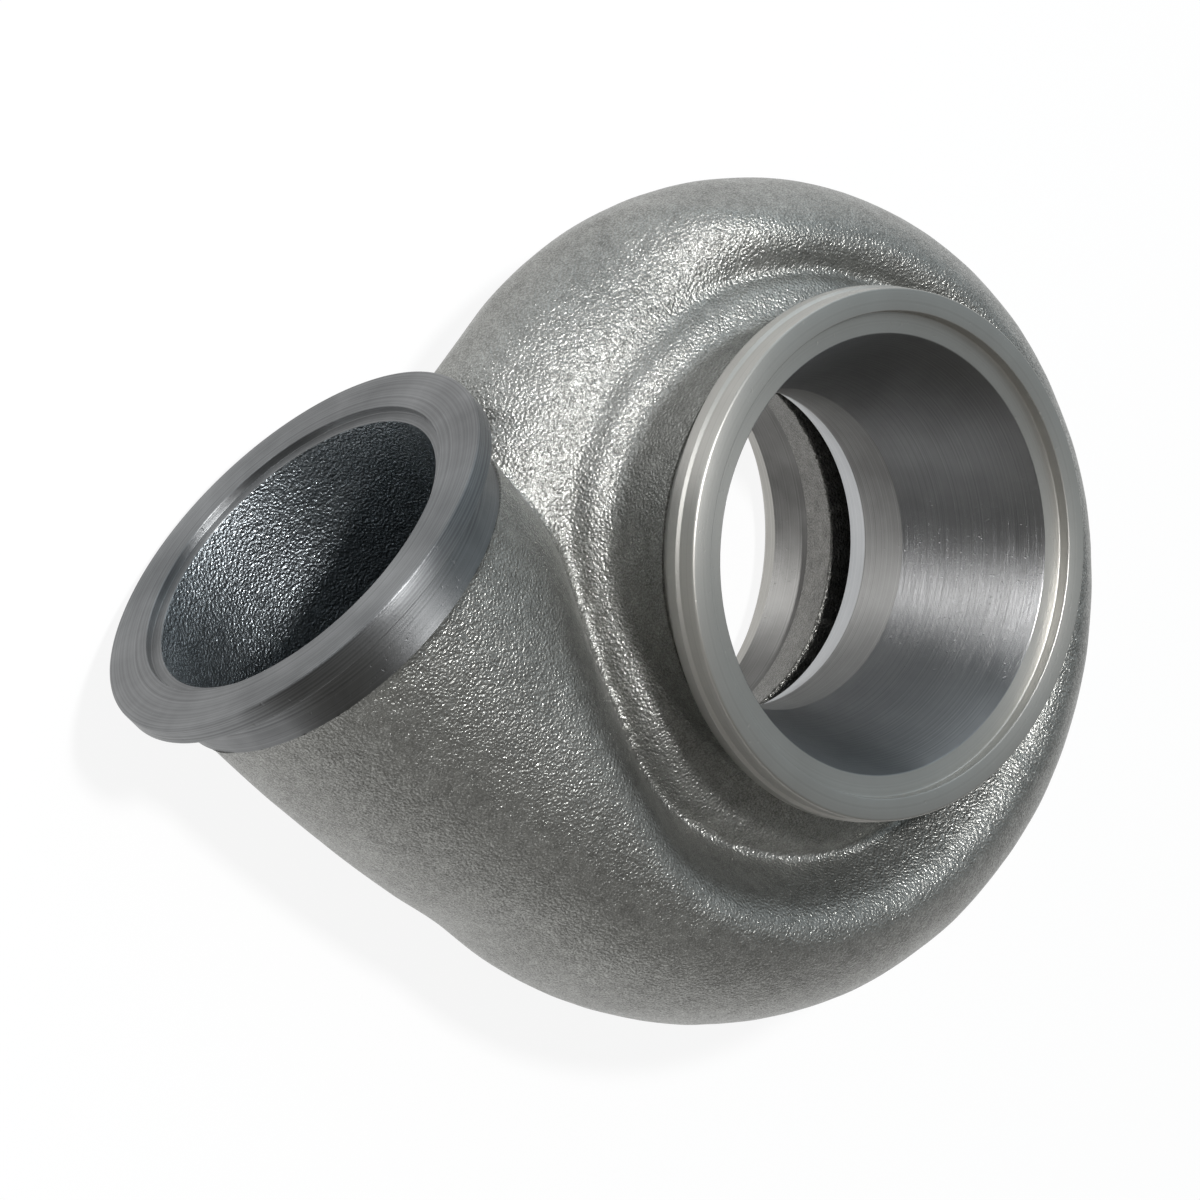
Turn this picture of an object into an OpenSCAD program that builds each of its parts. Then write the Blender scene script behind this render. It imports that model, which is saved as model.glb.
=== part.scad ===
// Radial turbine housing with a V-band inlet, a V-band outlet and a V-band bearing side.
// It is one casting in life. Each module here is one zone of it, cut where the cast skin
// gives way to a turned surface, or where one form of the casting runs into the next.
// The turbine axis is Z, the outlet faces up, and the bearing-side face lies on z = 0.
// Depths are measured down from the outlet face.

/* [Overall] */
// Height from the bearing-side face to the outlet face
overall_h = 84.5; // [83.5:0.5:92]
// Thickness of the cast wall round the gas passage
wall = 4.8; // [3.5:0.1:6]

/* [Outlet flange] */
// Height of the V-band rim above the neck behind it
outlet_rim_h = 4.8; // [4:0.1:5.6]
// Width of the rim, from the face to its V
outlet_rim_w = 6.4; // [5:0.2:8]
// Height of the step along the rim
outlet_step_h = 0.5; // [0.5:0.1:0.8]
// Depth of that step
outlet_step_depth = 3.5; // [2:0.1:4.5]
// Width of the floor of the recess that centres the downpipe
recess_floor_w = 3.8; // [3:0.1:4.6]
// Depth of that recess
outlet_recess_depth = 2.2; // [1:0.1:3.5]
// Wall of the neck at the mouth of the cone
outlet_neck_wall = 3.5; // [3:0.1:5]
// Depth where the turned neck ends and the cast neck starts
outlet_turned_depth = 12.8; // [11:0.2:15]
// Height that cast skin stands proud of the turned neck
cast_step = 0.4; // [0.2:0.1:0.8]

/* [Discharge cone and wheel bore] */
// Diameter of the cone's mouth, on the floor of the recess
cone_mouth_d = 76; // [70:0.2:84]
// Depth where the cone ends and the wheel bore starts
cone_depth = 29.2; // [25:0.2:33]
// Diameter of the bore round the wheel's exducer
exducer_d = 57.2; // [50:0.2:64]
// Depth where that bore starts to flare
flare_depth = 37.5; // [34:0.5:41]
// How far the bore flares out to the shroud's lip
flare_rise = 1.9; // [1:0.1:3]
// Depth of the nozzle's front wall
nozzle_depth = 45.4; // [42:0.2:48]
// Width of the nozzle gap
nozzle_w = 9.6; // [6:0.2:10.6]

/* [Bearing side] */
// Diameter of the turned pilot bore
pilot_d = 76.4; // [70:0.2:84]
// Step up from the rough band to the pilot bore
pilot_step = 1.2; // [0.8:0.1:2]
// Depth below the outlet face where the rough band ends
cast_band_depth = 64.6; // [62:0.2:68]
// Rise from the lip at the nozzle to the end of the rough band
back_lip_rise = 2.6; // [1:0.1:4]
// Wall of the barrel round the pilot bore
barrel_wall = 5.8; // [4.5:0.1:7]
// Step from the pilot bore out to the register of the bearing housing
register_step = 2.1; // [1.5:0.1:3]
// Length of that register
register_len = 6.8; // [5:0.1:7.8]
// Wall between the register and the groove of the V-band
register_wall = 2.9; // [2.4:0.1:3.6]
// Height of the bearing-side V-band rim above its groove
bearing_rim_h = 2.5; // [2:0.1:3]
// Width of that rim
bearing_rim_w = 4.5; // [3.5:0.1:5]
// Length of the turned zone, from the bearing-side face
bearing_turned_len = 9.1; // [8.2:0.1:10.4]
// Distance from that face to where the cast hub runs out on the barrel
hub_len = 11.5; // [10.6:0.1:13]
// How far the hub rises from the barrel to the scroll
hub_rise = 8.5; // [6:0.5:10]
// Depth below the outlet face where it meets the scroll
hub_top_depth = 62; // [60:0.5:64]

/* [Inlet flange] */
// Distance from the turbine axis to the inlet face
inlet_reach = 73; // [70:0.5:90]
// Depth of the inlet axis below the outlet face
inlet_depth = 43.6; // [42:0.2:45]
// How far the turned inlet sits outside the centre of the cast duct
inlet_shift = 0.8; // [0:0.1:1.2]
// Diameter of the cast gas bore at the inlet
inlet_bore_d = 57.4; // [52:0.2:62]
// Wall of the turned neck behind the rim
inlet_neck_wall = 4.9; // [4.6:0.1:6]
// Height of the V-band rim above that neck
inlet_rim_h = 5.1; // [4:0.1:6]
// Width of that rim
inlet_rim_w = 3.6; // [3:0.1:5]
// Width of the turned step inside the inlet face
inlet_step_w = 2; // [1:0.1:3]
// Depth of that step
inlet_step_depth = 1.5; // [1:0.1:2.5]
// Distance from the inlet face to the end of the turned neck
inlet_turned_len = 12.4; // [11:0.2:14]
// Room that the clamp needs round the inlet rim
clamp_room = 4; // [3:0.5:6]

/* [Scroll] */
// How far the scroll reaches past the cast neck where the inlet meets it
scroll_reach_start = 46.5; // [44:0.1:48]
// That reach a quarter turn on
scroll_reach_quarter = 38.2; // [36:0.1:40]
// That reach half a turn on
scroll_reach_half = 27.5; // [26:0.1:29]
// That reach three quarters of a turn on
scroll_reach_end = 24.4; // [23:0.1:26]
// Radial reach of the scroll's crown at its start
crown_start = 27.4; // [25:0.2:29]
// Radial reach of the crown at the tail
crown_end = 13.6; // [12.6:0.2:15]
// Half of the scroll's width along the axis at its start
half_w_start = 33.6; // [31:0.2:34]
// Half of that width at the tail
half_w_end = 20.8; // [19:0.2:22]
// How far the scroll leans towards the outlet half way round
scroll_lean = 3.4; // [2:0.1:5]

/* [Neck collar] */
// Distance from the cast neck to the crest of the raised ring round it
collar_reach = 3.6; // [3:0.1:4.4]
// Radius of the ring's rounded crest
collar_round = 3.2; // [2.4:0.1:3.4]
// Depth of the crest away from the inlet
collar_depth = 20; // [18.5:0.2:21]
// How much deeper the crest dips beside the inlet
collar_dip = 7; // [4:0.1:8]

/* [Hidden] */

cast_colour = "#6b6b68";
turned_colour = "#8a8c8d";

$fn = 96;

// Clearance between a round zone and the faceted casting round it, and at the tail's joint
seat_gap = 0.05;
// Rounding of turned edges
edge_chamfer = 0.4;
// Slope of the V on each rim, from the plane of the face
vee_angle = 20;
// Hollowing of the flank beside the neck, 1 being an ellipse
flank_power = 1.25;
// Angle at which the scroll's round part ends and its straight tail starts
scroll_end = 270;
// Angle at which the passage dies out at the tongue
tongue_angle = 318;
// How far the passage reaches past the rings at the nozzle gap
nozzle_run = 1.4;
// Where in the nozzle gap the front and back walls of the scroll part, from its front
parting_share = 0.28;
// Angle towards which the collar dips, and how far to each side the dip reaches
dip_angle = 300;
dip_reach = 72;
// How far the skin's inner flank runs into the rings it is cast round
flank_bite = 1.8;
// How much the duct narrows on its inner side before it meets the scroll
duct_waist = 1.6;
// Angle of the first point of the round sections
disc_start = -112;
// Facets round a section, and steps along each run
section_sides = 36;
arc_steps = 22;
lip_steps = 4;
scroll_steps = 45;
passage_steps = 30;
tail_steps = 6;
skirt_steps = 6;
duct_steps = 8;
collar_steps = 52;

function z_at(depth) = overall_h - depth;
function mix(a, b, t) = a + (b - a) * t;
function ease(t) = let (u = min(1, max(0, t))) u * u * (3 - 2 * u);

exducer_r = exducer_d / 2;
cone_mouth_r = cone_mouth_d / 2;
recess_r = cone_mouth_r + recess_floor_w;
outlet_neck_r = cone_mouth_r + outlet_neck_wall;
outlet_rim_r = outlet_neck_r + outlet_rim_h;
core_r = outlet_neck_r + cast_step;

pilot_r = pilot_d / 2;
band_r = pilot_r - pilot_step;
barrel_r = pilot_r + barrel_wall;
register_r = pilot_r + register_step;
groove_r = register_r + register_wall;

inlet_r = inlet_bore_d / 2;
inlet_neck_r = inlet_r + inlet_neck_wall;
inlet_rim_r = inlet_neck_r + inlet_rim_h;
inlet_offset = core_r + scroll_reach_start - crown_start + inlet_shift;
inlet_z = z_at(inlet_depth);
duct_r_start = inlet_r + wall;
duct_start = inlet_turned_len - inlet_reach;

nozzle_back = nozzle_depth + nozzle_w;
nozzle_mid = nozzle_depth + nozzle_w / 2;
parting_z = z_at(nozzle_depth + parting_share * nozzle_w);
neck_hole_r = core_r + seat_gap;
barrel_hole_r = barrel_r + seat_gap;
passage_r = min(neck_hole_r, barrel_hole_r) - nozzle_run;
front_flank_r = core_r - flank_bite;
back_flank_r = min(core_r, barrel_r) - flank_bite;
tail_reach = inlet_offset - duct_r_start + 2 * wall;

// Cubic through the four reaches, a quarter turn apart
function scroll_r(turn) = let (t = turn / 90)
  core_r
  + scroll_reach_start * (1 - t) * (2 - t) * (3 - t) / 6
  + scroll_reach_quarter * t * (2 - t) * (3 - t) / 2
  - scroll_reach_half * t * (1 - t) * (3 - t) / 2
  + scroll_reach_end * t * (1 - t) * (2 - t) / 6;

// Centre, height, crown and half width of the scroll at an angle
function scroll_law(turn) = let (
    u = turn / scroll_end,
    crown = mix(crown_start, crown_end, u)
  )
  [
    scroll_r(turn) - crown,
    inlet_z + scroll_lean * sin(180 * u),
    crown,
    mix(half_w_start, half_w_end, u)
  ];

// Oval skin section: a crown outwards, a flank in to the neck and one in to the barrel
function oval(centre, z, crown, front_in, back_in, half_w, power) = [
  for (i = [0 : section_sides - 1])
    let (
      c = cos(360 * i / section_sides),
      s = sin(360 * i / section_sides),
      p = c < 0 && s > 0 ? power : 1,
      reach = c < 0 ? centre - (s > 0 ? front_in : back_in) : crown
    )
    [centre + sign(c) * reach * pow(abs(c), p), z + sign(s) * half_w * pow(abs(s), p)]
];

function skin_section(turn) = let (s = scroll_law(turn))
  oval(s[0], s[1], s[2], front_flank_r, back_flank_r, s[3], flank_power);

// Section of the straight tail, its flanks following the rings it runs past
function skirt_section(x) = let (s = scroll_law(scroll_end))
  oval(
    s[0], s[1], s[2], circle_x(front_flank_r, x), circle_x(back_flank_r, x), s[3],
    flank_power
  );

// Points evenly spaced from one to another, the first left out
function line_to(a, b) = [for (i = [1 : lip_steps]) mix(a, b, i / lip_steps)];
function line_from(a, b) = [for (i = [0 : lip_steps - 1]) mix(a, b, i / lip_steps)];

// Angle at which a line from a point touches the unit circle
function touch(p, side) = (atan2(p[1], p[0]) + 360) % 360 + side * acos(1 / norm(p));

// Teardrop passage: an oval whose tangents run in to the two edges of a gap
function teardrop(centre, z, crown, half_w, lip_r, top, back) = let (
    flank = crown / 2,
    to = touch([(lip_r - centre) / flank, (top - z) / half_w], -1),
    from = touch([(lip_r - centre) / flank, (back - z) / half_w], 1) - 360,
    arc = [
      for (i = [0 : arc_steps])
        let (a = mix(from, to, i / arc_steps))
        [centre + (cos(a) < 0 ? flank : crown) * cos(a), z + half_w * sin(a)]
    ]
  )
  concat(
    arc,
    line_to(arc[arc_steps], [lip_r, top]),
    line_from([lip_r, back], arc[0])
  );

// Round section with as many points, starting at the same side
function disc(centre, z, r) = let (n = arc_steps + 2 * lip_steps + 1)
  [
    for (i = [0 : n - 1])
      let (a = disc_start + 360 * i / n)
      [centre + r * cos(a), z + r * sin(a)]
  ];

function passage_section(turn) = let (s = scroll_law(turn))
  teardrop(
    s[0], s[1], s[2] - wall, s[3] - wall, passage_r, z_at(nozzle_depth), z_at(nozzle_back)
  );

// The passage past the scroll's end, shrinking to the nozzle gap at the tongue
function tail_section(turn) = let (
    u = (turn - scroll_end) / (tongue_angle - scroll_end),
    s = scroll_law(scroll_end),
    outer = mix(s[0] + s[2] - wall, passage_r + 3 * nozzle_run / 2, u),
    crown = mix(s[2] - wall, nozzle_run / 2, u)
  )
  teardrop(
    outer - crown, mix(s[1], z_at(nozzle_mid), u), crown,
    mix(s[3] - wall, nozzle_w / 2, u), passage_r, z_at(nozzle_depth), z_at(nozzle_back)
  );

// How far along the duct, from 0 at the inlet flange to 1 at the scroll
function along(y) = (y - duct_start) / -duct_start;
// Distance to a circle round the turbine axis at a station of the duct
function circle_x(r, y) = sqrt(max(0, r * r - y * y));

// Duct skin sections run from a circle to the scroll's first section
function duct_skin(y) = let (
    s = scroll_law(0),
    t = along(y),
    side = s[0] - duct_r_start + duct_waist * ease(t / 0.4)
  )
  oval(
    s[0], inlet_z, mix(duct_r_start, s[2], t * t),
    max(side, circle_x(front_flank_r, y)), max(side, circle_x(back_flank_r, y)),
    mix(duct_r_start, s[3], ease(t)), mix(1, flank_power, ease(2 * t - 1))
  );

function duct_passage(y) = let (
    s = scroll_law(0),
    t = ease(along(y)),
    lip_r = max(inlet_offset - inlet_r, circle_x(passage_r, y)),
    late = ease(2 * along(y) - 1),
    centre = mix(inlet_offset, s[0], t),
    crown = mix(inlet_r, s[2] - wall, t),
    half_w = mix(inlet_r, s[3] - wall, t)
  )
  mix(
    disc(centre, inlet_z, mix(inlet_r, crown, t)),
    teardrop(centre, inlet_z, crown, half_w, lip_r, z_at(nozzle_depth), z_at(nozzle_back)),
    late
  );

function on_ray(points, turn) = [
  for (p = points) [p[0] * cos(turn), p[0] * sin(turn), p[1]]
];
function on_y(points, y) = [for (p = points) [p[0], y, p[1]]];
function on_x(points, x) = [for (p = points) [x, -p[0], p[1]]];

// Solid through a row of sections with equal numbers of points
module loft(rows, closed = false) {
  n = len(rows[0]);
  last = len(rows) - 1;
  polyhedron(
    points = [for (row = rows) each row],
    faces = concat(
      closed ? [] : [[for (i = [n - 1 : -1 : 0]) i], [for (i = [0 : n - 1]) last * n + i]],
      [
        for (j = [0 : closed ? last : last - 1], i = [0 : n - 1], half = [0, 1])
          let (k = (i + 1) % n, a = j * n, b = (j + 1) % (last + 1) * n)
          half == 0 ? [a + i, a + k, b + k] : [a + i, b + k, b + i]
      ]
    )
  );
}

// Solid between two convex sections
module span(a, b) {
  points = concat(a, b);
  hull() polyhedron(points = points, faces = [[for (i = [0 : len(points) - 1]) i]]);
}

module ring(profile) {
  rotate_extrude() polygon(profile);
}

// The scroll, and the straight stretch that carries its tail into the duct
module scroll_skin() {
  loft(concat(
    [
      for (i = [0 : scroll_steps])
        let (turn = scroll_end * i / scroll_steps)
        on_ray(skin_section(turn), turn)
    ],
    [
      for (i = [1 : skirt_steps])
        let (x = tail_reach * i / skirt_steps)
        on_x(skirt_section(x), x)
    ]
  ));
}

module duct_body() {
  for (i = [0 : duct_steps - 1]) {
    near = mix(duct_start, 0, i / duct_steps);
    far = mix(duct_start, 0, (i + 1) / duct_steps);
    span(on_y(duct_skin(near), near), on_y(duct_skin(far), far));
  }
}

// The whole gas way, from the inlet flange round to the tongue
module gas_passage() {
  loft(concat(
    [on_y(duct_passage(duct_start), duct_start - 1)],
    [
      for (i = [0 : duct_steps])
        let (y = mix(duct_start, 0, i / duct_steps))
        on_y(duct_passage(y), y)
    ],
    [
      for (i = [1 : passage_steps])
        let (turn = scroll_end * i / passage_steps)
        on_ray(passage_section(turn), turn)
    ],
    [
      for (i = [1 : tail_steps])
        let (turn = mix(scroll_end, tongue_angle, i / tail_steps))
        on_ray(tail_section(turn), turn)
    ]
  ));
}

// Space held by the turned rings inside the casting
module core() {
  translate([0, 0, z_at(nozzle_mid)]) cylinder(r = neck_hole_r, h = nozzle_mid);
  cylinder(r = barrel_hole_r, h = z_at(nozzle_mid));
}

// Everything in front of the duct that the clamp and the turning tool need
module clamp_space() {
  translate([inlet_offset, duct_start, inlet_z])
    rotate([90, 0, 0])
      cylinder(r = inlet_rim_r + clamp_room, h = inlet_turned_len + 1);
}

module scroll_walls() {
  difference() {
    union() {
      scroll_skin();
      translate([0, 0, hub_len])
        cylinder(h = z_at(hub_top_depth) - hub_len, r1 = barrel_r + 1, r2 = barrel_r + hub_rise);
    }
    duct_body();
    gas_passage();
    clamp_space();
    core();
  }
}

// Room in front of the nozzle gap, on the outlet's side
module front_room() {
  reach = 3 * scroll_r(0);
  translate([0, 0, parting_z + overall_h])
    cube([reach, reach, 2 * overall_h], center = true);
}

// A quarter of the room round the turbine axis, the last one clear of the first
module quarter(turn) {
  reach = 2 * scroll_r(0);
  rotate([0, 0, turn])
    translate([turn < scroll_end ? 0 : seat_gap, 0, -1])
      cube([reach, reach, overall_h + 2]);
}

module front_wall(turn) {
  color(cast_colour)
    intersection() {
      scroll_walls();
      front_room();
      quarter(turn);
    }
}

module back_wall(turn) {
  color(cast_colour)
    intersection() {
      difference() {
        scroll_walls();
        front_room();
      }
      quarter(turn);
    }
}

module front_wall_first_quarter() {
  front_wall(0);
}

module front_wall_second_quarter() {
  front_wall(90);
}

module front_wall_third_quarter() {
  front_wall(180);
}

module front_wall_tail() {
  front_wall(270);
}

module back_wall_first_quarter() {
  back_wall(0);
}

module back_wall_second_quarter() {
  back_wall(90);
}

module back_wall_third_quarter() {
  back_wall(180);
}

module back_wall_tail() {
  back_wall(270);
}

module inlet_duct() {
  color(cast_colour)
    difference() {
      duct_body();
      gas_passage();
      core();
    }
}

// Depth of the collar's crest at an angle
function crest_depth(turn) = let (
    off = (turn - dip_angle + 540) % 360 - 180,
    share = abs(off) < dip_reach ? cos(90 * off / dip_reach) : 0
  )
  collar_depth + collar_dip * share;

function collar_section(turn) = let (
    z = z_at(crest_depth(turn) + collar_round),
    centre = core_r + collar_reach
  )
  concat(
    [
      for (i = [0 : 8])
        [centre + collar_round * cos(180 * i / 8), z + collar_round * sin(180 * i / 8)]
    ],
    [
      [core_r - 1, z],
      [core_r - 1, inlet_z],
      [centre + collar_round, inlet_z]
    ]
  );

// Raised ring that fills the valley between the neck and the scroll
module neck_collar() {
  color(cast_colour)
    difference() {
      loft(
        [
          for (i = [0 : collar_steps - 1])
            let (turn = 360 * (i + 0.5) / collar_steps)
            on_ray(collar_section(turn), turn)
        ],
        closed = true
      );
      core();
      scroll_skin();
      duct_body();
    }
}

// Radius of the discharge cone at a depth
function cone_r(depth) = mix(
  cone_mouth_r, exducer_r,
  (depth - outlet_recess_depth) / (cone_depth - outlet_recess_depth)
);

function vee_drop(height) = height * tan(vee_angle);

module outlet_flange() {
  land_r = outlet_rim_r - outlet_step_h;
  color(turned_colour)
    ring([
      [recess_r, z_at(0)],
      [land_r - edge_chamfer, z_at(0)],
      [land_r, z_at(edge_chamfer)],
      [land_r, z_at(outlet_step_depth)],
      [outlet_rim_r, z_at(outlet_step_depth + outlet_step_h)],
      [outlet_rim_r, z_at(outlet_rim_w)],
      [outlet_neck_r, z_at(outlet_rim_w + vee_drop(outlet_rim_h))],
      [outlet_neck_r, z_at(outlet_turned_depth)],
      [cone_r(outlet_turned_depth), z_at(outlet_turned_depth)],
      [cone_mouth_r, z_at(outlet_recess_depth)],
      [recess_r, z_at(outlet_recess_depth)]
    ]);
}

module outlet_neck() {
  color(cast_colour)
    ring([
      [cone_r(outlet_turned_depth), z_at(outlet_turned_depth)],
      [core_r, z_at(outlet_turned_depth)],
      [core_r, z_at(cone_depth)],
      [exducer_r, z_at(cone_depth)]
    ]);
}

// Arc that flares the wheel bore out into the shroud's lip, from the lip inwards
function flare() = [
  for (i = [8 : -1 : 0])
    let (a = 90 * i / 8)
    [
      exducer_r + flare_rise * (1 - cos(a)),
      z_at(flare_depth + (nozzle_depth - flare_depth) * sin(a))
    ]
];

module exducer_shroud() {
  color(turned_colour)
    ring(concat(
      [
        [exducer_r, z_at(cone_depth)],
        [core_r, z_at(cone_depth)],
        [core_r, z_at(nozzle_depth)]
      ],
      flare()
    ));
}

module bearing_barrel() {
  color(cast_colour)
    ring([
      [band_r - back_lip_rise, z_at(nozzle_back)],
      [barrel_r, z_at(nozzle_back)],
      [barrel_r, bearing_turned_len],
      [pilot_r, bearing_turned_len],
      [pilot_r, z_at(cast_band_depth + pilot_step)],
      [band_r, z_at(cast_band_depth)]
    ]);
}

module bearing_flange() {
  rim_r = groove_r + bearing_rim_h;
  color(turned_colour)
    ring([
      [pilot_r, bearing_turned_len],
      [groove_r, bearing_turned_len],
      [groove_r, bearing_rim_w + vee_drop(bearing_rim_h)],
      [rim_r, bearing_rim_w],
      [rim_r, edge_chamfer],
      [rim_r - edge_chamfer, 0],
      [register_r, 0],
      [register_r, register_len],
      [pilot_r, register_len]
    ]);
}

// The inlet flange is turned about the inlet axis; its face looks towards -Y
module inlet_flange() {
  color(turned_colour)
    translate([inlet_offset, -inlet_reach, inlet_z])
      rotate([-90, 0, 0])
        ring([
          [inlet_r + inlet_step_w, 0],
          [inlet_rim_r - edge_chamfer, 0],
          [inlet_rim_r, edge_chamfer],
          [inlet_rim_r, inlet_rim_w],
          [inlet_neck_r, inlet_rim_w + vee_drop(inlet_rim_h)],
          [inlet_neck_r, inlet_turned_len],
          [inlet_r, inlet_turned_len],
          [inlet_r, inlet_step_depth],
          [inlet_r + inlet_step_w, inlet_step_depth]
        ]);
}

front_wall_first_quarter();
front_wall_second_quarter();
front_wall_third_quarter();
front_wall_tail();
back_wall_first_quarter();
back_wall_second_quarter();
back_wall_third_quarter();
back_wall_tail();
inlet_duct();
neck_collar();
outlet_neck();
outlet_flange();
exducer_shroud();
bearing_barrel();
bearing_flange();
inlet_flange();
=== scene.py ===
"""Looks of the turbine housing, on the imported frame. Shapes are worked out in millimetres."""

import math

import bmesh
import bpy
import numpy as np
import openvdb
from mathutils import Matrix, Vector, noise


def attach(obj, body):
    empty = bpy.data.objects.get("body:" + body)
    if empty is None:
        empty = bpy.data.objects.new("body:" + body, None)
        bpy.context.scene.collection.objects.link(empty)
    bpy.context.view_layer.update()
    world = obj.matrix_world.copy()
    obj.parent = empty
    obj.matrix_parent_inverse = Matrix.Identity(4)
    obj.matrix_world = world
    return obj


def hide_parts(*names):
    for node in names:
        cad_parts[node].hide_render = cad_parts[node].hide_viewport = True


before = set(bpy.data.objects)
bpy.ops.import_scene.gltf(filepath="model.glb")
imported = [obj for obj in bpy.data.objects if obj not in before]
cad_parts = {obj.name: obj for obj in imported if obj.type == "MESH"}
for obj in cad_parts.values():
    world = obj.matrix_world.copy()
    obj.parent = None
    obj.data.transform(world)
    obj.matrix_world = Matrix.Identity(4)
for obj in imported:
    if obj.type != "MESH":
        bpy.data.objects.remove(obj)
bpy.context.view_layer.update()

MM = 0.001
HEIGHT = 84.5
WALL = 4.8
CORE_R = 41.9  # cast neck under the outlet flange
BARREL_R = 44.0
FLANK_R = 40.1  # where the scroll's flanks meet the core
CREST_R = 45.0  # the collar's crest
CREST_SLOPE = 0.53  # fall of the collar's shoulder from the crest outwards
STEEP = 1.4  # rise of the duct's flank from the valley outwards
FACE_WALL = 5.0  # left above the gas way under those faces
FACE_ROUND = 5.0  # rounding of the edges that they leave
NOZZLE_Z = (29.5, 39.1)
NOZZLE_LIP_R = 40.55
INLET_X = 61.8
INLET_Y = -73.0
INLET_Z = 40.9
INLET_BORE_R = 28.7
DUCT_X = 61.0
DUCT_R = 33.4
DUCT_START = -60.6
TURNED_Z = 71.7  # end of the turned neck at the outlet
BARREL_Z = 9.1  # start of the cast barrel above the bearing flange
UPPER_HOLE_R = 39.0  # hole in the casting for the turned pieces of the outlet
LOWER_HOLE_R = 41.0  # hole for those of the bearing side
HOLE_STEP_Z = 34.3  # height where one gives way to the other
CELL = 1.4  # of the grid that the cast form is read on


def z_at(depth):
    return HEIGHT - depth


# ---------------------------------------------------------------- camera

RIGHT = Vector((-0.52334, 0.58211, 0.62230))
UP = Vector((-0.76688, -0.64012, -0.04615))
AHEAD = Vector((-0.37148, 0.50139, -0.78141))


def make_camera():
    data = bpy.data.cameras.new("Camera")
    data.lens = 107.60
    data.sensor_width = 36.0
    data.clip_start = 0.05
    data.clip_end = 20.0
    camera = bpy.data.objects.new("Camera", data)
    turn = Matrix((RIGHT, UP, -AHEAD)).transposed().to_4x4()
    camera.matrix_world = Matrix.Translation((0.26105, -0.33319, 0.53367)) @ turn
    bpy.context.scene.collection.objects.link(camera)
    bpy.context.scene.camera = camera


make_camera()


# ---------------------------------------------------------------- the cast form, as a field

def mix(a, b, t):
    return a + (b - a) * t


def ease(t):
    t = np.clip(t, 0.0, 1.0)
    return t * t * (3.0 - 2.0 * t)


def join(a, b, k):
    """Union of two fields, with a fillet of about k."""
    h = np.clip(0.5 + 0.5 * (b - a) / k, 0.0, 1.0)
    return mix(b, a, h) - k * h * (1.0 - h)


def carve(a, b, k):
    """Field a without field b, with an edge rounded by about k."""
    return -join(-a, b, k)


def oval(u, v, crown, flank, half_w, power=2.0):
    """Distance, roughly, to an oval: crown outwards, flank inwards, half_w up and down.

    A power under 2 flattens the quarter that faces the axis and the outlet.
    """
    reach = np.where(u > 0.0, crown, flank)
    e = np.where((u < 0.0) & (v > 0.0), power, 2.0)
    share = (np.abs(u / reach) ** e + np.abs(v / half_w) ** e) ** (1.0 / e)
    rho = np.hypot(u, v)
    edge = np.where(share > 1e-6, rho / np.maximum(share, 1e-6), half_w)
    return rho - edge


def scroll_law(turn):
    """Centre, height, crown and half width of the scroll at an angle in degrees."""
    t = turn / 90.0
    outer = (88.4 * (1 - t) * (2 - t) * (3 - t) / 6 + 80.1 * t * (2 - t) * (3 - t) / 2
             - 69.4 * t * (1 - t) * (3 - t) / 2 + 66.3 * t * (1 - t) * (2 - t) / 6)
    u = turn / 270.0
    crown = mix(27.4, 13.6, u)
    lean = 3.4 * np.sin(np.pi * np.clip(u, 0.0, 1.0))
    return outer - crown, INLET_Z + lean, crown, mix(33.6, 20.8, u)


START_R, _, START_CROWN, START_HALF = (float(v) for v in scroll_law(np.array(0.0)))
END_R, END_Z, END_CROWN, END_HALF = (float(v) for v in scroll_law(np.array(270.0)))


COLLAR = np.array((
    # angle, depth of the crest, radius of the valley beside it, fall of the scroll outside it
    (-10, 21.0, 49.5, -1.2),
    (12, 21.0, 53.5, -1.2),
    (30, 17.5, 55.0, -1.2),
    (45, 15.5, 55.0, -1.2),
    (90, 15.0, 52.0, -1.2),
    (180, 16.5, 50.0, -1.2),
    (215, 18.5, 50.0, -1.1),
    (232, 20.0, 50.0, -0.6),
    (245, 22.7, 49.5, 0.0),
    (258, 24.0, 49.0, 0.3),
    (270, 25.8, 48.7, 0.46),
    (282, 27.2, 48.5, 0.53),
    (300, 27.6, 48.1, 0.53),
    (318, 28.0, 46.8, 0.53),
    (326, 27.4, 46.4, 0.3),
    (336, 24.2, 46.8, -0.8),
    (350, 21.0, 49.5, -1.2),
    (372, 21.0, 53.5, -1.2),
))
CREST_DEPTH, VALLEY_R, FALL = 1, 2, 3


def collar_law(theta, column):
    """One column of the collar's sizes at an angle, eased from row to row."""
    total = 0.0
    nudges = (-9.0, -6.0, -3.0, 0.0, 3.0, 6.0, 9.0)
    for nudge in nudges:
        total = total + np.interp((theta + nudge) % 360.0, COLLAR[:, 0], COLLAR[:, column])
    return total / len(nudges)


def valley_faces(r, z, theta):
    """The scroll's top face beside the collar, and the duct's steeper one; positive above.

    The top face falls from the valley outwards, flat at first on the tail, then rounding over.
    """
    valley_r = collar_law(theta, VALLEY_R)
    fall = collar_law(theta, FALL)
    far_side = ease((120.0 - np.abs(theta % 360.0 - 122.0)) / 20.0)
    crest = z_at(collar_law(theta, CREST_DEPTH))
    valley = crest - CREST_SLOPE * (valley_r - CREST_R) - mix(2.2, 0.9, far_side)
    flat = 4.0 * ease((theta % 360.0 - 255.0) / 25.0)
    bend = 0.07 * np.clip((fall + 0.6) / 0.8, 0.0, 1.0)
    over = np.maximum(r - valley_r - flat, 0.0)
    face = z - valley + fall * (r - valley_r) + 0.5 * bend * over * over
    face = face / np.hypot(1.0, fall + bend * over)
    steep = (z - valley - STEEP * (r - valley_r)) / np.hypot(1.0, STEEP)
    return face, steep


def circle_x(radius, y):
    return np.sqrt(np.maximum(0.0, radius * radius - y * y))


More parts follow.
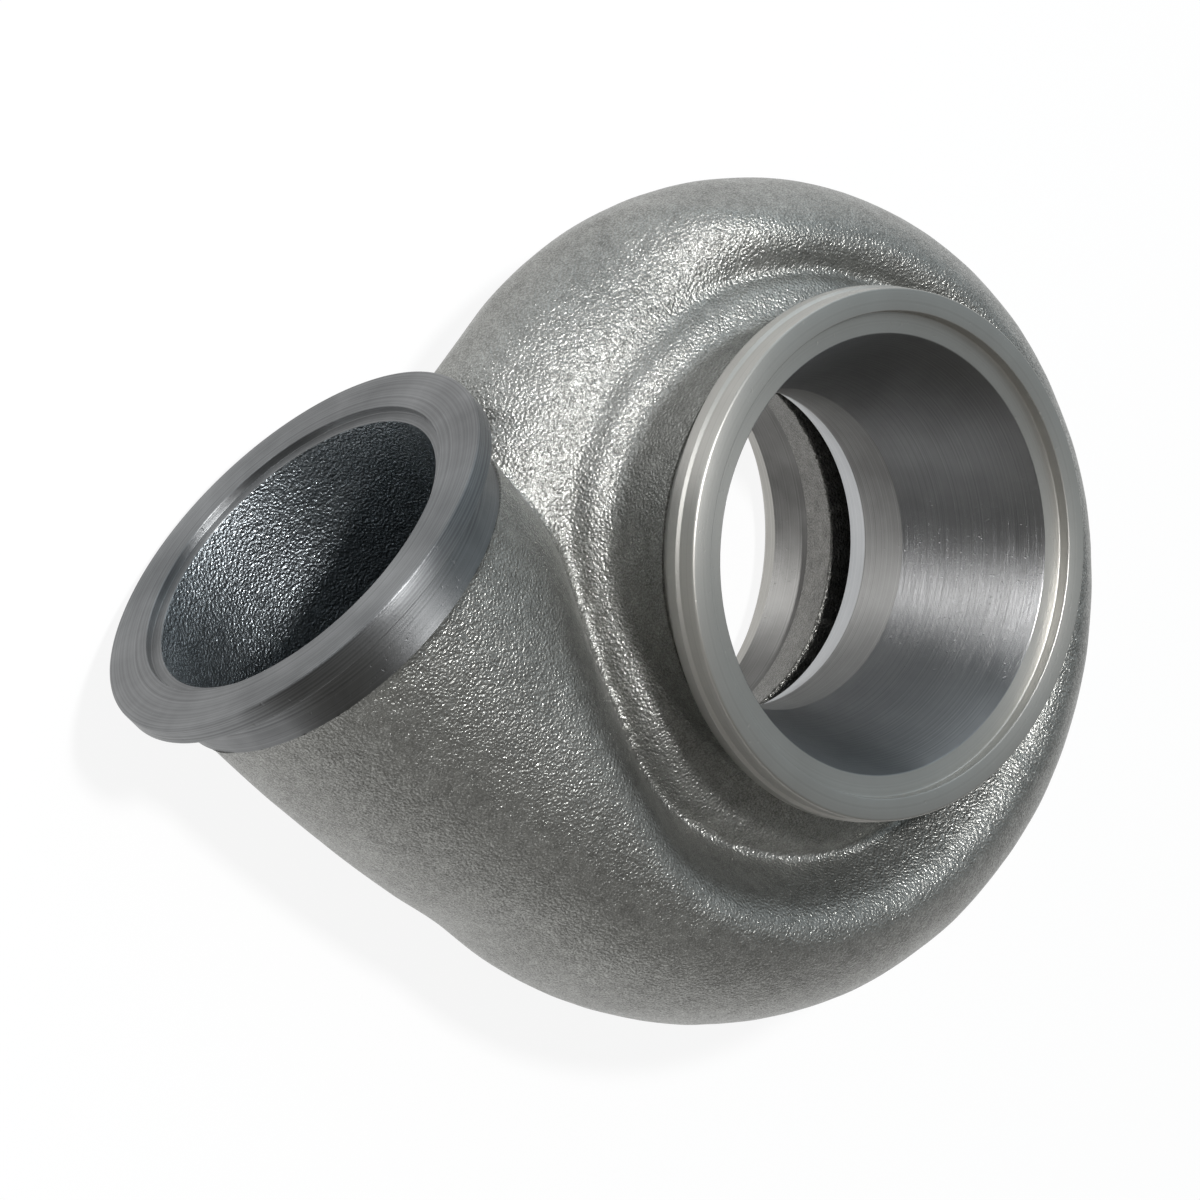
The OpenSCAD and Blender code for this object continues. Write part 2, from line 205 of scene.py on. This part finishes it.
def polar(x, y):
    """Radius, angle in degrees, and the turn along the scroll, which starts at the inlet."""
    theta = np.degrees(np.arctan2(y, x))
    return np.hypot(x, y), theta, np.where(theta < -90.0, theta + 360.0, theta)


def wedge(r, z, slope):
    """The nozzle gap, widening outwards into the scroll."""
    middle = 0.5 * (NOZZLE_Z[0] + NOZZLE_Z[1])
    half = 0.5 * (NOZZLE_Z[1] - NOZZLE_Z[0])
    return np.abs(z - middle) - half - slope * np.maximum(r - NOZZLE_LIP_R, 0.0)


def skin_field(x, y, z):
    """The outside of the casting."""
    r, theta, turn = polar(x, y)
    centre, height, crown, half_w = scroll_law(np.maximum(turn, -20.0))
    scroll = oval(r - centre, z - height, crown, centre - FLANK_R, half_w, 1.6)

    t = (y - DUCT_START) / -DUCT_START
    waist = DUCT_R - 1.6 * ease(t / 0.4)
    flank = DUCT_X - np.maximum(DUCT_X - waist, circle_x(FLANK_R, y))
    duct = oval(
        x - DUCT_X, z - INLET_Z, mix(DUCT_R, START_CROWN, np.clip(t, 0, 1.3) ** 2), flank,
        mix(DUCT_R, START_HALF, ease(t)), mix(2.0, 1.6, ease(2 * t - 0.4)),
    )
    duct = np.where(y < DUCT_START, np.hypot(x - INLET_X, z - INLET_Z) - 34.0, duct)
    duct = np.maximum(duct, -65.0 - y)
    tube = mix(duct, scroll, ease((y + 12.0) / 24.0))

    tail = oval(-y - END_R, z - END_Z, END_CROWN, END_R - circle_x(FLANK_R, x), END_HALF, 1.6)
    tail = np.maximum(tail, x - 46.0)
    room = np.hypot(x - INLET_X, z - INLET_Z) - 40.0
    room = np.maximum(room, y + 58.5)
    tail = carve(tail, room, 6.0)

    face, steep = valley_faces(r, z, theta)
    scroll = carve(scroll, -face, FACE_ROUND)
    tail = carve(tail, -face, FACE_ROUND)
    tube = carve(tube, -steep, FACE_ROUND)
    form = np.where(x < 0.0, scroll, join(tube, tail, 2.0))

    core = r - mix(BARREL_R, CORE_R, ease((z - 30.0) / 8.0))
    hub = np.maximum(0.83 * (r - 45.0 - 0.68 * (z - 11.5)), z - 26.0)
    form = join(form, hub, 2.0)
    form = join(form, core, 1.5)
    crest = z_at(collar_law(theta, CREST_DEPTH))
    shoulder = (z - crest + CREST_SLOPE * (r - CREST_R)) / np.hypot(1.0, CREST_SLOPE)
    collar = carve(r - collar_law(theta, VALLEY_R) + 1.1, -shoulder, 3.4)
    collar = np.maximum(collar, 42.5 - z)
    return join(form, collar, 2.0)


def passage_field(x, y, z):
    """The gas way, from the inlet round to the tongue."""
    r, theta, turn = polar(x, y)
    centre, height, crown, half_w = scroll_law(np.maximum(turn, 0.0))
    crown = crown - WALL
    scroll = oval(r - centre, z - height, crown, crown / 2, half_w - WALL)
    gap = np.maximum(wedge(r, z, 0.75 * (half_w - 9.6) / (centre - 41.0)), r - centre)
    face, steep = valley_faces(r, z, theta)
    scroll = np.maximum(join(scroll, gap, 1.5), np.where(x < 0.0, face, steep) + FACE_WALL)

    t = (y - DUCT_START) / -DUCT_START
    s = ease(t)
    late = ease(2 * t - 1)
    duct = oval(
        x - mix(INLET_X, START_R, s), z - INLET_Z, mix(INLET_BORE_R, START_CROWN - WALL, s),
        mix(INLET_BORE_R, (START_CROWN - WALL) / 2, late),
        mix(INLET_BORE_R, START_HALF - WALL, s),
    )
    mouth = np.maximum(wedge(np.minimum(r, 54.0), z, 0.6), x - 50.0)
    mouth = np.maximum(mouth, -(y + 0.9 * x) * 0.743)
    duct = np.maximum(join(duct, mouth, 1.5), steep + FACE_WALL)

    u = np.clip((theta + 90.0) / 48.0, 0.0, 1.0)
    crown = mix(END_CROWN - WALL, 0.7, u)
    outer = mix(END_R + END_CROWN - WALL, 42.65, u)
    tail = oval(
        r - outer + crown, z - mix(END_Z, 34.3, u), crown, crown / 2,
        mix(END_HALF - WALL, 4.8, u),
    )
    gap = np.maximum(wedge(r, z, 0.75), r - outer + crown)
    tail = np.maximum(np.minimum(tail, gap), (theta + 42.0) * 0.7)
    tail = np.maximum(tail, face + FACE_WALL)
    ahead = (x > 0.0) & (y < 0.0)
    return np.where(ahead, np.minimum(duct, tail), scroll)


def cast_field(p):
    """The casting, hollow, with a hole for the turned pieces on the turbine axis."""
    x, y, z = p[..., 0], p[..., 1], p[..., 2]
    form = carve(skin_field(x, y, z), passage_field(x, y, z), 0.6)
    r = np.hypot(x, y)
    hole = r - np.where(z > HOLE_STEP_Z, UPPER_HOLE_R, LOWER_HOLE_R)
    return np.maximum(form, -hole)


def slope_of(field, p, step=0.05):
    rise = []
    for axis in range(3):
        nudge = np.zeros(3)
        nudge[axis] = step
        rise.append((field(p + nudge) - field(p - nudge)) / (2.0 * step))
    return np.stack(rise, axis=-1)


def polygons(field, low, high, cell):
    """Points on the field's zero surface, and the faces between them."""
    axes = [np.arange(a, b + cell, cell) for a, b in zip(low, high)]
    values = np.empty([len(a) for a in axes], dtype=np.float32)
    yy, zz = np.meshgrid(axes[1], axes[2], indexing="ij")
    for i, x in enumerate(axes[0]):
        p = np.stack([np.full_like(yy, x), yy, zz], axis=-1)
        values[i] = np.clip(field(p), -4.0 * cell, 4.0 * cell)
    grid = openvdb.FloatGrid(background=4.0 * cell)
    grid.copyFromArray(values)
    points, tris, quads = grid.convertToPolygons(isovalue=0.0, adaptivity=0.0)
    points = np.asarray(points, dtype=np.float64) * cell + np.asarray(low)
    for _ in range(3):  # the grid's points, drawn onto the surface itself
        away = field(points)
        rise = slope_of(field, points)
        square = np.maximum((rise ** 2).sum(axis=1), 0.25)
        move = np.clip(away / square, -0.6, 0.6)
        points = points - move[:, None] * rise
    return points, [tuple(f) for f in tris] + [tuple(f) for f in quads]


# ---------------------------------------------------------------- meshes

def make_object(name, mesh, *materials):
    obj = bpy.data.objects.new(name, mesh)
    bpy.context.scene.collection.objects.link(obj)
    for material in materials:
        mesh.materials.append(material)
    return obj


def finish_mesh(mesh, sharp_deg):
    mesh.validate()
    for poly in mesh.polygons:
        poly.use_smooth = True
    mesh.set_sharp_from_angle(angle=math.radians(sharp_deg))
    mesh.update()


def cut_flat(bm, point, normal, keep):
    """Cuts the faces that keep() picks at a plane, drops what is past it and closes the wall."""
    faces = [f for f in bm.faces if keep(f.calc_center_median())]
    verts = list(dict.fromkeys(v for f in faces for v in f.verts))
    edges = list(dict.fromkeys(e for f in faces for e in f.edges))
    result = bmesh.ops.bisect_plane(
        bm, geom=verts + edges + faces, dist=1e-5,
        plane_co=point, plane_no=normal, clear_outer=True,
    )
    rim = [e for e in result["geom_cut"] if isinstance(e, bmesh.types.BMEdge)]
    rim = [e for e in rim if e.is_valid and len(e.link_faces) == 1]
    bmesh.ops.bridge_loops(bm, edges=rim)


# casting pimples on the duct and the scroll
PIMPLES = ((-30.7, -52.7, 58.6), (-29.3, -33.8, 64.7), (57.5, -32.7, 74.2))


def drop_specks(bm, fewest):
    """Deletes the loose bits of the surface that have fewer points than that."""
    seen = set()
    for start in bm.verts[:]:
        if start in seen:
            continue
        seen.add(start)
        island = [start]
        for vert in island:  # which grows on the way
            for edge in vert.link_edges:
                other = edge.other_vert(vert)
                if other not in seen:
                    seen.add(other)
                    island.append(other)
        if len(island) < fewest:
            bmesh.ops.delete(bm, geom=island, context="VERTS")


def make_cast_body(material, gas_way):
    """The whole casting, cut off flat where the turned pieces take over."""
    points, faces = polygons(cast_field, (-73.0, -69.5, 4.0), (98.0, 84.0, 77.0), CELL)
    for p in points:  # a slight unevenness, kept off the hole for the turned pieces
        lift = 0.14 * noise.noise(Vector(p) / 12.0) + 0.05 * noise.noise(Vector(p) / 4.5)
        r = math.hypot(p[0], p[1])
        if r > 41.5:
            p[2] += lift
            p[0] += lift * p[0] / r
            p[1] += lift * p[1] / r
    for spot in PIMPLES:
        away = np.linalg.norm(points - np.array(spot), axis=1)
        near = away < 3.0
        lift = 0.55 * np.exp(-(away[near] / 0.9) ** 2)
        points[near] += lift[:, None] * slope_of(cast_field, points[near])
    bm = bmesh.new()
    verts = [bm.verts.new(p * MM) for p in points]
    for f in faces:
        bm.faces.new([verts[i] for i in f])
    drop_specks(bm, 100)
    cut_flat(
        bm, (0, 0, TURNED_Z * MM), (0, 0, 1),
        lambda c: c.z > (TURNED_Z - 2) * MM and math.hypot(c.x, c.y) < 0.0435,
    )
    cut_flat(
        bm, (0, 0, BARREL_Z * MM), (0, 0, -1),
        lambda c: c.z < (BARREL_Z + 2) * MM and math.hypot(c.x, c.y) < 0.049,
    )
    cut_flat(
        bm, (0, DUCT_START * MM, 0), (0, -1, 0),
        lambda c: c.y < (DUCT_START + 2) * MM
        and math.hypot(c.x - INLET_X * MM, c.z - INLET_Z * MM) < 0.037,
    )
    bmesh.ops.recalc_face_normals(bm, faces=bm.faces[:])
    mesh = bpy.data.meshes.new("Cast_housing")
    bm.to_mesh(mesh)
    bm.free()
    finish_mesh(mesh, 75)
    # the gas way's own faces get the second material
    centres = np.array([poly.center[:] for poly in mesh.polygons]) / MM
    inside = passage_field(centres[:, 0], centres[:, 1], centres[:, 2]) < 1.0
    mesh.polygons.foreach_set("material_index", inside.astype(np.int32))
    return make_object("Cast_housing", mesh, material, gas_way)


def rounded(profile, steps=4):
    """A closed outline of (radius, height, fillet) corners with each fillet drawn."""
    points = []
    count = len(profile)
    for i, (r, h, fillet) in enumerate(profile):
        here = Vector((r, h))
        if fillet <= 0:
            points.append(here)
            continue
        back = Vector(profile[i - 1][:2]) - here
        ahead = Vector(profile[(i + 1) % count][:2]) - here
        angle = back.angle(ahead)
        reach = fillet / math.tan(angle / 2)
        limit = 0.49 * min(back.length, ahead.length)
        if reach > limit:
            fillet *= limit / reach
            reach = limit
        a = here + back.normalized() * reach
        middle = (back.normalized() + ahead.normalized()).normalized()
        centre = here + middle * (fillet / math.sin(angle / 2))
        b = here + ahead.normalized() * reach
        va, vb = a - centre, b - centre
        sweep = va.angle_signed(vb)
        for k in range(steps + 1):
            turned = va.copy()
            turned.rotate(Matrix.Rotation(-sweep * k / steps, 2))
            points.append(centre + turned)
    return points


def lathe(name, profile, materials, inlet=False, segments=256, second_if=None):
    """Turns a closed outline about the turbine axis, or about the inlet's.

    The outline is in (radius, height, fillet) corners, the height taken from the inlet's face
    where it is the inlet's. Where second_if() holds, the surface has the second material.
    """
    outline = rounded(profile)
    bm = bmesh.new()
    rows = []
    for r, h in outline:
        row = []
        for i in range(segments):
            a = 2 * math.pi * i / segments
            c, s = r * math.cos(a), r * math.sin(a)
            p = (INLET_X + c, INLET_Y + h, INLET_Z + s) if inlet else (c, s, h)
            row.append(bm.verts.new(Vector(p) * MM))
        rows.append(row)
    for j, row in enumerate(rows):
        after = rows[(j + 1) % len(rows)]
        middle = (outline[j] + outline[(j + 1) % len(outline)]) / 2
        index = 1 if second_if and second_if(middle) else 0
        for i in range(segments):
            k = (i + 1) % segments
            face = bm.faces.new((row[i], row[k], after[k], after[i]))
            face.material_index = index
    bmesh.ops.recalc_face_normals(bm, faces=bm.faces[:])
    mesh = bpy.data.meshes.new(name)
    bm.to_mesh(mesh)
    bm.free()
    finish_mesh(mesh, 28)
    return make_object(name, mesh, *materials)


def roughen(obj, where, height_mm, grain_mm):
    """Leaves the cast grain in the edge of a turned piece, on the points that where() picks."""
    for vert in obj.data.vertices:
        p = vert.co / MM
        r = math.hypot(p.x, p.y)
        if where(r, p.z):
            lift = height_mm * noise.noise(p / grain_mm) * MM
            vert.co += Vector((p.x / r, p.y / r, -1.0)) * lift
    obj.data.update()


# ---------------------------------------------------------------- materials

def group(name, outputs, inputs=()):
    tree = bpy.data.node_groups.new(name, "ShaderNodeTree")
    for label in inputs:
        tree.interface.new_socket(label, in_out="INPUT", socket_type="NodeSocketFloat")
    for label in outputs:
        tree.interface.new_socket(label, in_out="OUTPUT", socket_type="NodeSocketFloat")
    entry = tree.nodes.new("NodeGroupInput") if inputs else None
    leave = tree.nodes.new("NodeGroupOutput")
    return tree, entry, leave


def maths(tree, operation, a, b=None, c=None, clamp=False):
    node = tree.nodes.new("ShaderNodeMath")
    node.operation = operation
    node.use_clamp = clamp
    for socket, value in zip(node.inputs, (a, b, c)):
        if value is None:
            continue
        if isinstance(value, (int, float)):
            socket.default_value = value
        else:
            tree.links.new(value, socket)
    return node.outputs[0]


def spread(tree, value, low, high, to_low=0.0, to_high=1.0):
    node = tree.nodes.new("ShaderNodeMapRange")
    tree.links.new(value, node.inputs["Value"])
    node.inputs["From Min"].default_value = low
    node.inputs["From Max"].default_value = high
    node.inputs["To Min"].default_value = to_low
    node.inputs["To Max"].default_value = to_high
    return node.outputs[0]


def cloud(tree, size_mm, detail=2.0, rough=0.5, where=None):
    """Noise whose grains measure about size_mm."""
    node = tree.nodes.new("ShaderNodeTexNoise")
    node.inputs["Scale"].default_value = 1000.0 / size_mm
    node.inputs["Detail"].default_value = detail
    node.inputs["Roughness"].default_value = rough
    tree.links.new(where, node.inputs["Vector"])
    return node.outputs["Fac"]


def place(tree):
    return tree.nodes.new("ShaderNodeTexCoord").outputs["Object"]


def cast_grain():
    """Height, mottling and single grains of a blasted iron skin, each from noise in place."""
    tree, _, leave = group("Cast_grain", ("Height", "Tone", "Fine"))
    at = place(tree)
    pebble = tree.nodes.new("ShaderNodeTexVoronoi")
    pebble.feature = "SMOOTH_F1"
    pebble.inputs["Scale"].default_value = 1000.0 / 0.55
    pebble.inputs["Smoothness"].default_value = 0.5
    tree.links.new(at, pebble.inputs["Vector"])
    peel = cloud(tree, 0.45, 2.0, 0.5, at)
    fine = cloud(tree, 0.22, 2.0, 0.6, at)
    height = maths(tree, "MULTIPLY_ADD", pebble.outputs["Distance"], -0.8, peel)
    height = maths(tree, "MULTIPLY_ADD", fine, 0.25, height)
    broad = cloud(tree, 22.0, 3.0, 0.6, at)
    patch = cloud(tree, 2.4, 3.0, 0.65, at)
    tone = maths(tree, "MULTIPLY_ADD", patch, 0.7, maths(tree, "MULTIPLY", broad, 0.4))
    grains = cloud(tree, 0.30, 1.0, 0.5, at)
    tree.links.new(height, leave.inputs["Height"])
    tree.links.new(spread(tree, tone, 0.38, 0.74), leave.inputs["Tone"])
    tree.links.new(spread(tree, grains, 0.40, 0.64), leave.inputs["Fine"])
    return tree


def tool_lines():
    """Fine rings left by turning, from the distance to the axis and along it, in metres."""
    tree, entry, leave = group(
        "Tool_lines", ("Height", "Tone", "Pits"), ("Radius", "Along"))
    at = place(tree)
    path = maths(tree, "MULTIPLY_ADD", entry.outputs["Along"], 1.37, entry.outputs["Radius"])
    lines = []
    for size, detail in ((0.07, 2.0), (0.5, 2.0)):
        node = tree.nodes.new("ShaderNodeTexNoise")
        node.noise_dimensions = "1D"
        node.inputs["Scale"].default_value = 1000.0 / size
        node.inputs["Detail"].default_value = detail
        tree.links.new(path, node.inputs["W"])
        lines.append(node.outputs["Fac"])
    height = maths(tree, "MULTIPLY_ADD", lines[1], 0.8, lines[0])
    smear = cloud(tree, 14.0, 3.0, 0.6, at)
    tone = maths(tree, "MULTIPLY_ADD", lines[1], 0.6, maths(tree, "MULTIPLY", smear, 0.7))
    specks = cloud(tree, 0.9, 1.0, 0.5, at)
    tree.links.new(height, leave.inputs["Height"])
    tree.links.new(spread(tree, tone, 0.45, 0.85), leave.inputs["Tone"])
    tree.links.new(spread(tree, specks, 0.70, 0.78), leave.inputs["Pits"])
    return tree


GRAIN = cast_grain()
LINES = tool_lines()


def new_material(name):
    material = bpy.data.materials.new(name)
    material.use_nodes = True
    tree = material.node_tree
    return material, tree, tree.nodes["Principled BSDF"]


def use_group(tree, source):
    node = tree.nodes.new("ShaderNodeGroup")
    node.node_tree = source
    return node


def ramp(tree, value, *stops):
    node = tree.nodes.new("ShaderNodeValToRGB")
    tree.links.new(value, node.inputs["Fac"])
    ends = node.color_ramp.elements
    while len(ends) < len(stops):
        ends.new(0.5)
    for element, (at, colour) in zip(ends, stops):
        element.position = at
        element.color = (*colour, 1.0)
    return node.outputs["Color"]


def bump(tree, height, depth_mm):
    node = tree.nodes.new("ShaderNodeBump")
    node.inputs["Distance"].default_value = depth_mm * MM
    node.inputs["Strength"].default_value = 1.0
    tree.links.new(height, node.inputs["Height"])
    return node.outputs["Normal"]


def cast_material(name, dark, light, metal=0.9):
    material, tree, shader = new_material(name)
    grain = use_group(tree, GRAIN)
    tone = maths(tree, "MULTIPLY_ADD", grain.outputs["Fine"], 0.45,
                 maths(tree, "MULTIPLY", grain.outputs["Tone"], 0.55))
    colour = ramp(tree, tone, (0.0, dark), (1.0, light))
    tree.links.new(colour, shader.inputs["Base Color"])
    rough = spread(tree, grain.outputs["Fine"], 0.0, 1.0, 0.46, 0.29)
    tree.links.new(rough, shader.inputs["Roughness"])
    shader.inputs["Metallic"].default_value = metal
    tree.links.new(bump(tree, grain.outputs["Height"], 0.21), shader.inputs["Normal"])
    return material


def turned_material(name, dark, light, inlet=False, rough=(0.46, 0.54), grooved=0.97):
    """Turned iron, whose fine rings draw a highlight out into a streak across them."""
    material, tree, shader = new_material(name)
    split = tree.nodes.new("ShaderNodeSeparateXYZ")
    tree.links.new(place(tree), split.inputs[0])
    x, y, z = split.outputs
    if inlet:
        side = maths(tree, "SUBTRACT", x, INLET_X * MM)
        rise = maths(tree, "SUBTRACT", z, INLET_Z * MM)
        along = y
    else:
        side, rise, along = x, y, z
    square = maths(tree, "MULTIPLY_ADD", side, side, maths(tree, "MULTIPLY", rise, rise))
    lines = use_group(tree, LINES)
    tree.links.new(maths(tree, "SQRT", square), lines.inputs["Radius"])
    tree.links.new(along, lines.inputs["Along"])
    colour = ramp(tree, lines.outputs["Tone"], (0.0, dark), (1.0, light))
    tree.links.new(colour, shader.inputs["Base Color"])
    shader.inputs["Metallic"].default_value = 1.0
    shader.inputs["Anisotropic"].default_value = grooved
    shader.inputs["Anisotropic Rotation"].default_value = 0.25  # a quarter turn
    groove = tree.nodes.new("ShaderNodeTangent")
    groove.direction_type = "RADIAL"
    groove.axis = "Y" if inlet else "Z"
    tree.links.new(groove.outputs[0], shader.inputs["Tangent"])
    tree.links.new(
        spread(tree, lines.outputs["Tone"], 0.0, 1.0, rough[1], rough[0]),
        shader.inputs["Roughness"],
    )
    shape = maths(tree, "MULTIPLY_ADD", lines.outputs["Pits"], -2.0, lines.outputs["Height"])
    tree.links.new(bump(tree, shape, 0.012), shader.inputs["Normal"])
    return material


# ---------------------------------------------------------------- pieces

cast_skin = cast_material("Cast_skin", (0.173, 0.172, 0.162), (0.405, 0.405, 0.386))
gas_way_skin = cast_material("Gas_way_skin", (0.16, 0.176, 0.188), (0.42, 0.45, 0.47), metal=1.0)
band_skin = cast_material("Rough_band", (0.10, 0.098, 0.092), (0.27, 0.266, 0.25))
turned_face = turned_material(
    "Turned_face", (0.40, 0.392, 0.370), (0.47, 0.461, 0.436), rough=(0.42, 0.48), grooved=0.45)
pilot_finish = turned_material("Pilot_bore_finish", (0.21, 0.207, 0.20), (0.32, 0.316, 0.307))
# The inlet flange is the same turned iron as the outlet's faces. Its darker, cooler colour is
# painted shade, standing in for the shade its faces fall into.
inlet_turned_painted_shade = turned_material(
    "Turned_inlet_painted_shade", (0.145, 0.148, 0.151), (0.25, 0.255, 0.258), inlet=True,
    rough=(0.42, 0.48), grooved=0.82)
flare_finish = turned_material(
    "Flare_finish", (0.40, 0.41, 0.42), (0.50, 0.51, 0.52), rough=(0.34, 0.40), grooved=0.3)
cone_finish = turned_material(
    "Cone_finish", (0.26, 0.26, 0.262), (0.37, 0.37, 0.372), rough=(0.33, 0.37), grooved=1.0)
wheel_bore_finish = turned_material(
    "Wheel_bore_finish", (0.28, 0.277, 0.27), (0.40, 0.397, 0.39), rough=(0.5, 0.58),
    grooved=0.85)

cast_body = make_cast_body(cast_skin, gas_way_skin)

CONE_MOUTH, CONE_MOUTH_R = 2.2, 38.0  # depth from the outlet's face, and radius
CONE_END, WHEEL_BORE_R = 29.2, 28.6
CONE_SLOPE = (CONE_MOUTH_R - WHEEL_BORE_R) / (CONE_END - CONE_MOUTH)
NECK_END = 12.8  # depth of the turned neck
PILOT_R = 38.2


def cone_r(depth):
    return CONE_MOUTH_R - (depth - CONE_MOUTH) * CONE_SLOPE


outlet_flange = lathe("Outlet_flange", [
    (41.8, z_at(0), 0.25),
    (45.8, z_at(0), 0.45),
    (45.8, z_at(3.5), 0.15),
    (46.3, z_at(4.0), 0.2),
    (46.3, z_at(6.4), 0.35),
    (41.5, z_at(8.15), 0.6),
    (41.5, z_at(NECK_END), 0),
    (cone_r(NECK_END), z_at(NECK_END), 0),
    (CONE_MOUTH_R, z_at(CONE_MOUTH), 0.3),
    (41.8, z_at(CONE_MOUTH), 0.3),
], [turned_face, cone_finish], second_if=lambda p: p.x < cone_r(HEIGHT - p.y) + 0.15)

discharge_cone = lathe("Discharge_cone", [
    (cone_r(NECK_END), z_at(NECK_END), 0),
    (UPPER_HOLE_R, z_at(NECK_END), 0),
    (UPPER_HOLE_R, z_at(CONE_END), 0),
    (WHEEL_BORE_R, z_at(CONE_END), 0),
], [cone_finish])

exducer_bore = lathe("Exducer_bore", [
    (WHEEL_BORE_R, z_at(CONE_END), 0),
    (UPPER_HOLE_R, z_at(CONE_END), 0),
    (UPPER_HOLE_R, z_at(45.4), 0),
    (30.5, z_at(45.4), 0.35),
    (30.2, z_at(43.6), 1.5),
    (WHEEL_BORE_R, z_at(39.0), 3.0),
], [wheel_bore_finish, flare_finish], second_if=lambda p: p.y < z_at(39.6) and p.x < 31)

bearing_bore = lathe("Bearing_bore", [
    (34.4, z_at(55.0), 0.5),
    (LOWER_HOLE_R, z_at(55.0), 0),
    (LOWER_HOLE_R, BARREL_Z, 0),
    (PILOT_R, BARREL_Z, 0),
    (PILOT_R, z_at(65.8), 0.3),
    (37.0, z_at(64.6), 0.3),
], [pilot_finish, band_skin], segments=720, second_if=lambda p: p.y > z_at(65.7))
roughen(bearing_bore, lambda r, z: r < 35.4 and z > 28.6, 0.16, 0.7)  # the rough lip

bearing_flange = lathe("Bearing_flange", [
    (PILOT_R, BARREL_Z, 0),
    (43.2, BARREL_Z, 0),
    (43.2, 5.4, 0.5),
    (45.7, 4.5, 0.3),
    (45.7, 0, 0.4),
    (43.6, 0, 0.2),
    (40.3, 4.1, 0.3),
    (40.3, 6.8, 0.2),
    (PILOT_R, 6.8, 0.2),
], [turned_face])

inlet_flange = lathe("Inlet_flange", [
    (30.7, 0, 0.25),
    (38.7, 0, 0.45),
    (38.7, 3.6, 0.3),
    (33.6, 5.45, 0.6),
    (33.6, 12.4, 0),
    (INLET_BORE_R, 12.4, 0),
    (INLET_BORE_R, 1.5, 0.3),
    (30.7, 1.5, 0.2),
], [inlet_turned_painted_shade, gas_way_skin], inlet=True, second_if=lambda p: p.x < INLET_BORE_R + 0.05)

SCROLL_NODES = tuple(
    f"{wall}_wall_{zone}" for wall in ("front", "back")
    for zone in ("first_quarter", "second_quarter", "third_quarter", "tail")
)
PARTS = [
    (cast_body, "cast_skin", SCROLL_NODES + ("inlet_duct", "neck_collar")),
    (discharge_cone, "cast_skin", ("outlet_neck",)),
    (outlet_flange, "turned_face", ("outlet_flange",)),
    (exducer_bore, "turned_face", ("exducer_shroud",)),
    (bearing_bore, "cast_skin", ("bearing_barrel",)),
    (bearing_flange, "turned_face", ("bearing_flange",)),
    (inlet_flange, "turned_face", ("inlet_flange",)),
]
for piece, slot, nodes in PARTS:
    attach(piece, "root")
    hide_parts(*nodes)


# ---------------------------------------------------------------- floor and light

def make_floor():
    """A pale floor that shows white and keeps the object's shadow."""
    mesh = bpy.data.meshes.new("Floor")
    size = 6.0
    corners = [(-size, -size, 0), (size, -size, 0), (size, size, 0), (-size, size, 0)]
    mesh.from_pydata(corners, [], [(0, 1, 2, 3)])
    material = bpy.data.materials.new("Floor_white")
    material.use_nodes = True
    tree = material.node_tree
    tree.nodes.clear()
    out = tree.nodes.new("ShaderNodeOutputMaterial")
    plain = tree.nodes.new("ShaderNodeBsdfDiffuse")
    plain.inputs["Color"].default_value = (0.8, 0.8, 0.8, 1.0)
    white = tree.nodes.new("ShaderNodeEmission")
    white.inputs["Strength"].default_value = 1.0
    seen = tree.nodes.new("ShaderNodeLightPath")
    blend = tree.nodes.new("ShaderNodeMixShader")
    shown = maths(tree, "ADD", seen.outputs["Is Camera Ray"], seen.outputs["Is Glossy Ray"])
    shown = maths(tree, "ADD", shown, seen.outputs["Is Transmission Ray"], clamp=True)
    share_of_white = 0.9
    tree.links.new(maths(tree, "MULTIPLY", shown, share_of_white), blend.inputs["Fac"])
    tree.links.new(plain.outputs[0], blend.inputs[1])
    tree.links.new(white.outputs[0], blend.inputs[2])
    tree.links.new(blend.outputs[0], out.inputs["Surface"])
    floor = make_object("Floor", mesh, material)


def area_light(name, right, up, back, size, power, colour=(1, 1, 1)):
    """A soft box, placed in metres right, up and back from the object as the camera sees it."""
    aim = Vector((0.01, 0.0, 0.045))
    here = aim + RIGHT * right + UP * up - AHEAD * back
    data = bpy.data.lights.new(name, "AREA")
    data.shape = "RECTANGLE"
    data.size, data.size_y = size
    data.energy = power
    data.color = colour
    light = bpy.data.objects.new(name, data)
    light.location = here
    light.rotation_euler = (aim - here).to_track_quat("-Z", "Y").to_euler()
    bpy.context.scene.collection.objects.link(light)


def make_sky():
    """Even room light, cooler and stronger from the top of the picture than from below."""
    world = bpy.data.worlds.new("Room")
    world.use_nodes = True
    bpy.context.scene.world = world
    tree = world.node_tree
    way = tree.nodes.new("ShaderNodeTexCoord").outputs["Generated"]
    lean = tree.nodes.new("ShaderNodeVectorMath")
    lean.operation = "DOT_PRODUCT"
    tree.links.new(way, lean.inputs[0])
    lean.inputs[1].default_value = 0.85 * UP + 0.52 * RIGHT
    colour = ramp(
        tree, spread(tree, lean.outputs["Value"], -1.0, 1.0),
        (0.0, (0.15, 0.144, 0.130)), (0.5, (0.22, 0.218, 0.212)), (1.0, (0.49, 0.57, 0.62)))
    tree.links.new(colour, tree.nodes["Background"].inputs["Color"])


make_floor()
make_sky()
area_light("Key", 0.31, 0.20, 0.93, (0.08, 0.08), 11.0)
area_light("Top", 0.15, 0.95, 0.10, (0.9, 0.5), 1.6, (0.90, 0.96, 1.0))
area_light("Side", -0.75, 0.45, 0.50, (0.5, 0.5), 3.0, (0.92, 0.97, 1.0))

scene = bpy.context.scene
scene.view_settings.view_transform = "Standard"
